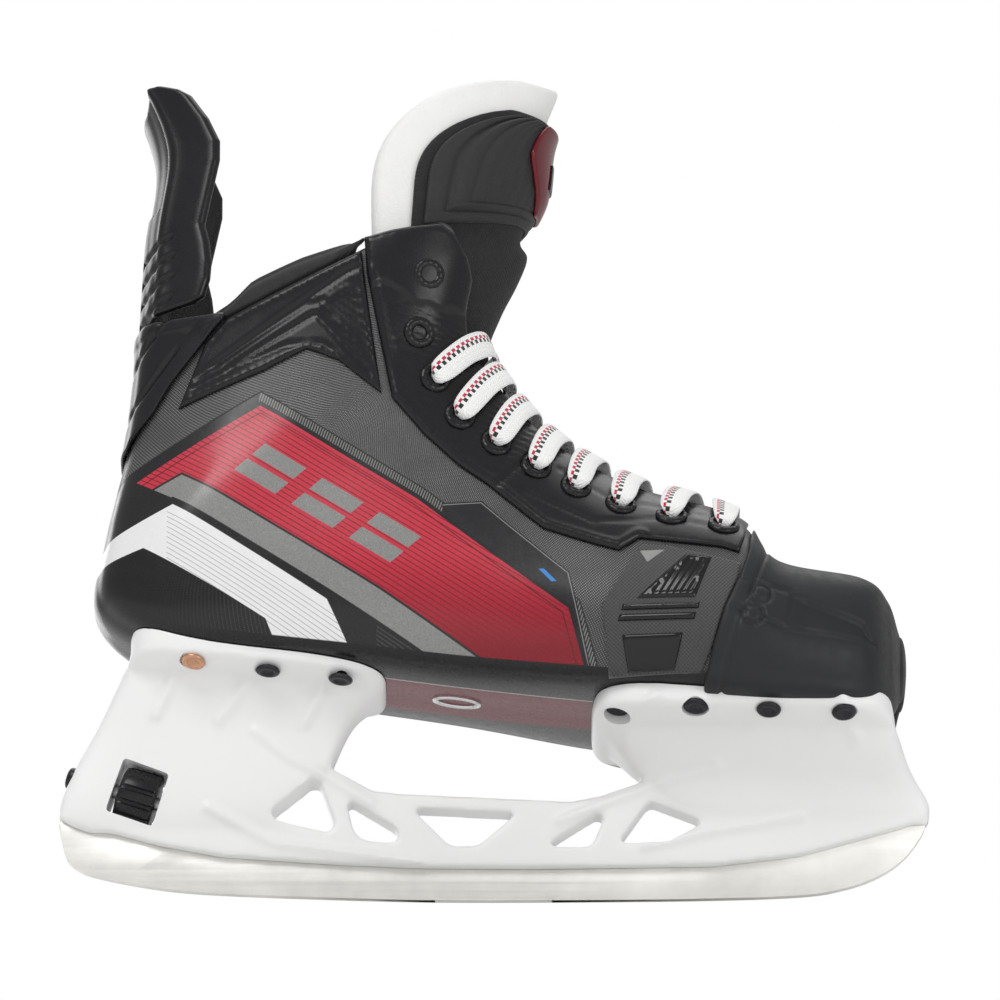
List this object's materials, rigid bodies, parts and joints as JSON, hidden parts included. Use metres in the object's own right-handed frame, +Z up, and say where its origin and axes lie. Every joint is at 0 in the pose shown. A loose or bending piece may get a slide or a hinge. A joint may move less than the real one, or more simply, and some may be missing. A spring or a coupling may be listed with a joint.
{
  "type": "ice hockey skate",
  "caption": "Right ice hockey skate: moulded boot with felt tongue and flat lace, riveted to a white blade holder whose steel runner is let go by a thumb dial and a button.",
  "frame": {"origin": "middle of the runner's flat lower edge, where it meets the ice", "axes": "+X towards the toe, +Y towards the inner (medial) side of the right foot, +Z up out of the boot"},
  "size_m": [0.298, 0.1028, 0.2951],
  "materials": {
    "shell": "matte composite quarter with printed panels",
    "toe_cap": "matte moulded",
    "trim": "embossed, semi-matte",
    "gloss_black": "gloss",
    "lining": "brushed lining",
    "padding": "stitched padded cloth",
    "felt": "thick felt",
    "badge": "gloss",
    "lace": "flat woven, red and black tracer",
    "holder": "satin moulded nylon",
    "dial": "ribbed",
    "steel": "ground and polished",
    "bolt_steel": "machined",
    "black_metal": "black oxide",
    "copper": "copper-plated",
    "vent_mesh": "woven mesh"
  },
  "bodies": {
    "root": {"boot_shell": "shell", "sole_vent": "vent_mesh", "toe_cap": "toe_cap", "liner": "lining", "footbed": "lining", "collar_pad": "lining", "eyestay_outer": "trim", "ankle_panel_outer": "trim", "side_window_outer": "gloss_black", "eyestay_inner": "trim", "ankle_panel_inner": "trim", "side_window_inner": "gloss_black", "tendon_guard_base": "trim", "tongue_base": "felt", "lace": "lace", "lace_end_outer": "lace", "lace_end_inner": "lace", "holder": "holder", "eyelet_outer_1": "gloss_black", "eyelet_outer_2": "gloss_black", "eyelet_outer_3": "gloss_black", "eyelet_outer_4": "gloss_black", "eyelet_outer_5": "gloss_black", "eyelet_outer_6": "gloss_black", "eyelet_outer_7": "gloss_black", "eyelet_outer_8": "gloss_black", "eyelet_outer_9": "gloss_black", "eyelet_outer_10": "gloss_black", "eyelet_inner_1": "gloss_black", "eyelet_inner_2": "gloss_black", "eyelet_inner_3": "gloss_black", "eyelet_inner_4": "gloss_black", "eyelet_inner_5": "gloss_black", "eyelet_inner_6": "gloss_black", "eyelet_inner_7": "gloss_black", "eyelet_inner_8": "gloss_black", "eyelet_inner_9": "gloss_black", "eyelet_inner_10": "gloss_black", "rivet_rear_outer_1": "copper", "rivet_rear_outer_2": "black_metal", "rivet_rear_outer_3": "black_metal", "rivet_front_outer_4": "black_metal", "rivet_front_outer_5": "black_metal", "rivet_front_outer_6": "black_metal", "rivet_front_outer_7": "black_metal", "rivet_rear_inner_1": "copper", "rivet_rear_inner_2": "black_metal", "rivet_rear_inner_3": "black_metal", "rivet_front_inner_4": "black_metal", "rivet_front_inner_5": "black_metal", "rivet_front_inner_6": "black_metal", "rivet_front_inner_7": "black_metal"},
    "tongue_top": {"tongue_felt": "felt", "tongue_cover": "padding", "tongue_badge": "badge"},
    "tendon_guard": {"tendon_guard": "trim"},
    "thumb_dial": {"thumb_dial": "dial"},
    "lock_bolt": {"lock_bolt": "bolt_steel", "release_button": "black_metal"},
    "runner": {"runner": "steel"}
  },
  "joints": [
    {"name": "tongue_flex", "type": "hinge", "parent": "root", "child": "tongue_top", "pos_m": [0.012, 0, 0.231], "axis": [0, 1, 0], "range_deg": [0, 22], "stiffness_Nm_per_rad": 0.6},
    {"name": "tendon_guard_flex", "type": "hinge", "parent": "root", "child": "tendon_guard", "pos_m": [-0.124, 0, 0.2035], "axis": [0, 1, 0], "range_deg": [-30, 4], "stiffness_Nm_per_rad": 1.5},
    {"name": "bolt_travel", "type": "slide", "parent": "root", "child": "lock_bolt", "axis": [0.9511, 0, -0.309], "range_m": [0, 0.003]},
    {"name": "dial_turn", "type": "hinge", "parent": "root", "child": "thumb_dial", "pos_m": [-0.1219, 0, 0.037], "axis": [0.9511, 0, -0.309], "range_deg": [0, 720]},
    {"name": "runner_release", "type": "slide", "parent": "root", "child": "runner", "axis": [-0.309, 0, -0.9511], "range_m": [0, 0.03]}
  ],
  "couplings": [
    {"joint": "dial_turn", "follows": "bolt_travel", "rad_per_m": 4188.4}
  ]
}
